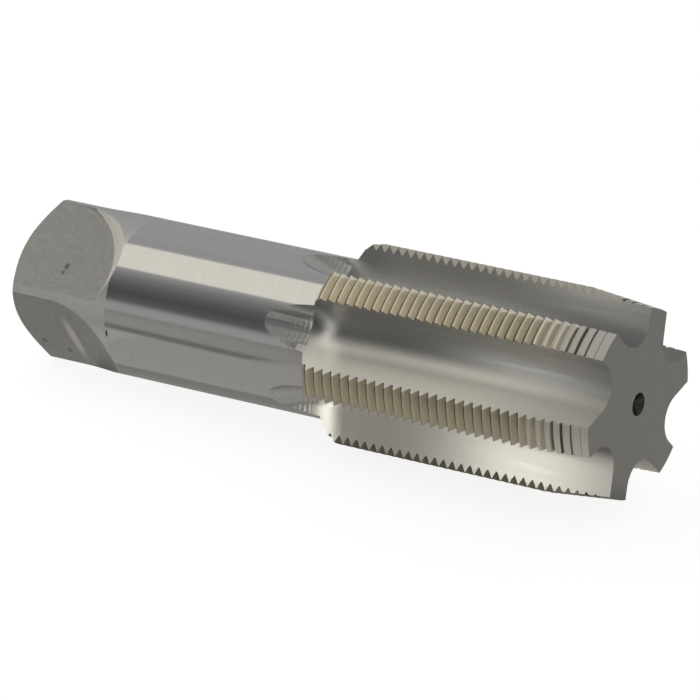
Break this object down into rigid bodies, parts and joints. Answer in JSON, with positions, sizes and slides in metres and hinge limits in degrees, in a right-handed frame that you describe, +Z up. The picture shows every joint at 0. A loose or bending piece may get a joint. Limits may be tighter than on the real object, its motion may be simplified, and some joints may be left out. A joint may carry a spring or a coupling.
{
  "type": "thread tap",
  "caption": "Large hand tap with straight flutes, a fine-pitch thread with a tapered lead, a plain round shank and a square drive end.",
  "frame": {"origin": "on the tap's axis at the face of the drive end, in the mouth of its centre hole", "axes": "+X along the axis from the drive end to the cutting tip, +Z up with the tap lying on its side, one flute facing straight up and one straight down"},
  "size_m": [0.138, 0.04, 0.0376],
  "materials": {
    "ground_steel": "ground high-speed steel, satin to bright, with fine grinding lines"
  },
  "bodies": {
    "root": {"thread_tap": "ground_steel"}
  },
  "joints": []
}
